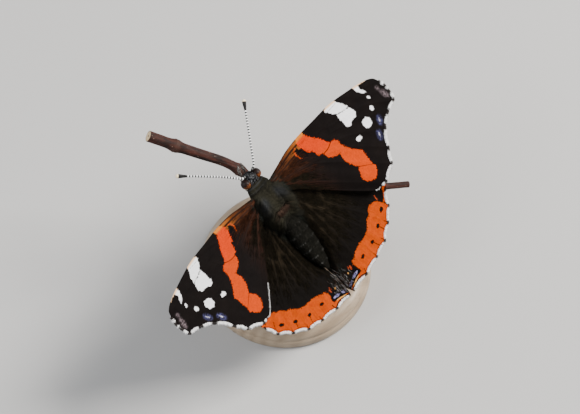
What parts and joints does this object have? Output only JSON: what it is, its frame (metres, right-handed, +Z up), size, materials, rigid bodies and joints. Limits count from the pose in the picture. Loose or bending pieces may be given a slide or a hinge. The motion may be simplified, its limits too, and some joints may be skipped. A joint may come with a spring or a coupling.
{
  "type": "red admiral butterfly model",
  "caption": "Life-size still model of a red admiral butterfly with spread wings, gripping a cut length of twig on a small round display stand.",
  "frame": {"origin": "centre of the flat underside of the display base", "axes": "+Z up; +X to the butterfly's left, along its wingspan; the butterfly faces -Y with its head raised"},
  "size_m": [0.0706, 0.049, 0.0391],
  "materials": {
    "wing": "matte overlapping scales, near black with orange bands and white spots",
    "body_hair": "dense soft hair, dark grey-brown with an olive cast",
    "eye": "dark brown faceted eye with a soft gloss",
    "antenna": "black and white ringed shaft with a black club, satin",
    "leg": "brown scaled legs, matte",
    "bark": "smooth red-brown bark with pale pores",
    "base_wood": "turned hardwood, fine grain, satin varnish",
    "rod": "thin brushed steel rod"
  },
  "bodies": {
    "root": {"head": "body_hair", "thorax": "body_hair", "abdomen": "body_hair", "eye_left": "eye", "eye_right": "eye", "antenna_left": "antenna", "antenna_right": "antenna", "palp_left": "body_hair", "palp_right": "body_hair", "forewing_left": "wing", "forewing_right": "wing", "hindwing_left": "wing", "hindwing_right": "wing", "foreleg_left": "leg", "foreleg_right": "leg", "midleg_left": "leg", "midleg_right": "leg", "hindleg_left": "leg", "hindleg_right": "leg", "perch_twig": "bark", "stand_base": "base_wood", "stand_rod_front": "rod", "stand_rod_back": "rod"}
  },
  "joints": []
}
